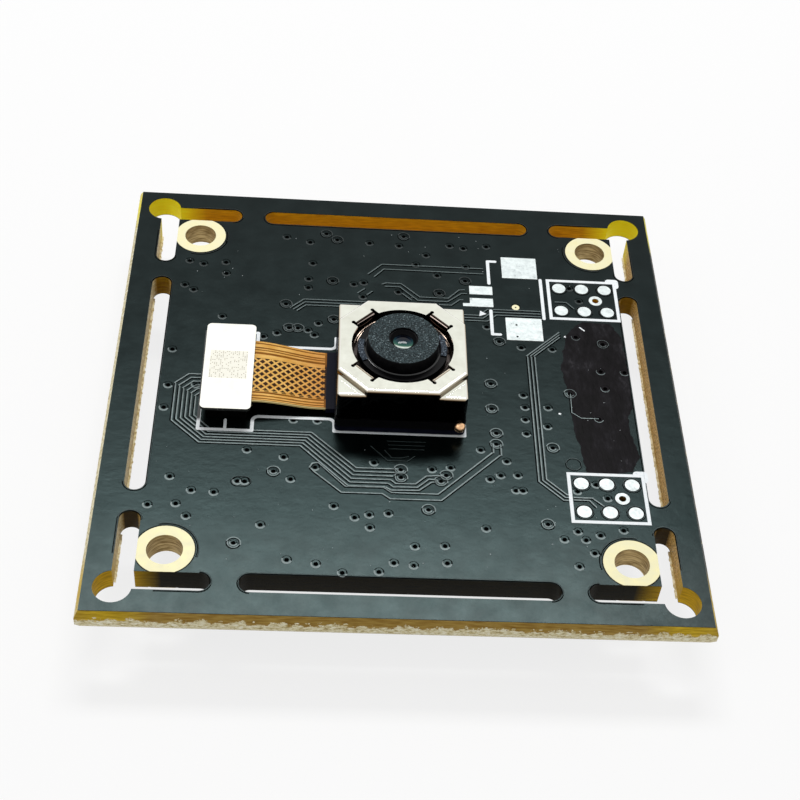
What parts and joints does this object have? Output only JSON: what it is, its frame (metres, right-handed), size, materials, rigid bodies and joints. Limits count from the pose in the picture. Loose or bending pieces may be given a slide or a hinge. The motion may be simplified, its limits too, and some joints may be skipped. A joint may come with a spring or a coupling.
{
  "type": "camera module",
  "caption": "Square scored circuit board with break-out slots that carries an autofocus camera with a short flex cable, and a plug connector and chips underneath.",
  "frame": {"origin": "centre of the four mounting holes, on the underside of the board", "axes": "+Z out through the lens, +Y towards the board edge that the underside plug connector faces, +X to the right with +Y away"},
  "size_m": [0.038, 0.038, 0.0096],
  "materials": {
    "glass_fibre_board": "routed glass-fibre laminate, amber where it is cut",
    "solder_mask": "glossy blue-black solder mask",
    "gold_plating": "pale immersion gold",
    "white_print": "white printed ink",
    "tinned_pad": "bright tin over copper",
    "foam_adhesive": "black adhesive foam",
    "dark_substrate": "dark rigid-flex substrate",
    "sensor_silicon": "polished silicon",
    "black_plastic": "fine moulded black plastic",
    "filter_glass": "thin coated filter glass",
    "spring_alloy": "etched copper alloy",
    "magnet_plating": "nickel-plated magnet",
    "can_metal": "warm nickel-plated sheet",
    "copper_solder": "coppery solder joint",
    "copper_winding": "enamelled copper winding",
    "barrel_plastic": "black plastic with a coarse matt front",
    "lens_glass": "coated lens",
    "flex_film": "orange polyimide over copper mesh",
    "stiffener_metal": "cream-white plated steel",
    "connector_plastic": "black moulded nylon",
    "chip_epoxy": "black moulding compound",
    "tinned_lead": "matt tin",
    "crystal_ceramic": "ceramic package",
    "crystal_metal": "welded metal lid",
    "ferrite_block": "pressed ferrite",
    "tan_ceramic": "tan ceramic",
    "resistor_coat": "black glass coat",
    "cream_nylon": "cream nylon"
  },
  "bodies": {
    "board": {"circuit_board": "glass_fibre_board", "solder_mask_front": "solder_mask", "solder_mask_back": "solder_mask", "mounting_hole_plating": "gold_plating", "silkscreen_front": "white_print", "silkscreen_back": "white_print", "wafer_pads": "tinned_pad", "microphone_pads": "tinned_pad", "test_point": "gold_plating", "module_adhesive": "foam_adhesive", "module_substrate": "dark_substrate", "image_sensor": "sensor_silicon", "actuator_base": "black_plastic", "infrared_filter": "filter_glass", "lower_spring": "spring_alloy", "corner_magnets": "magnet_plating", "upper_spring": "spring_alloy", "spring_spacer": "black_plastic", "shield_can": "can_metal", "terminal_solder": "copper_solder", "flex_cable": "flex_film", "connector_stiffener": "stiffener_metal", "connector_plug": "connector_plastic", "plug_contacts": "gold_plating", "connector_socket": "connector_plastic", "socket_contacts": "gold_plating", "solder_pads_back": "tinned_pad", "image_processor": "chip_epoxy", "processor_pads": "tinned_pad", "flash_memory": "chip_epoxy", "flash_leads": "tinned_lead", "crystal_base": "crystal_ceramic", "crystal_lid": "crystal_metal", "voltage_regulators": "chip_epoxy", "regulator_leads": "tinned_lead", "power_inductor": "ferrite_block", "inductor_terminals": "tinned_lead", "capacitor_bodies": "tan_ceramic", "capacitor_terminals": "tinned_lead", "resistor_bodies": "resistor_coat", "resistor_terminals": "tinned_lead", "plug_housing": "cream_nylon", "plug_pins": "tinned_lead", "plug_solder_tabs": "tinned_lead"},
    "lens": {"lens_carrier": "black_plastic", "voice_coil": "copper_winding", "lens_barrel": "barrel_plastic", "lens_element_1": "lens_glass", "lens_element_2": "lens_glass", "lens_element_3": "lens_glass", "lens_element_4": "lens_glass", "lens_retainer": "black_plastic"}
  },
  "joints": [
    {"name": "focus_slide", "type": "slide", "parent": "board", "child": "lens", "axis": [0, 0, 1], "range_m": [0, 0.00025], "stiffness_N_per_m": 60, "springref_m": -0.0001}
  ]
}
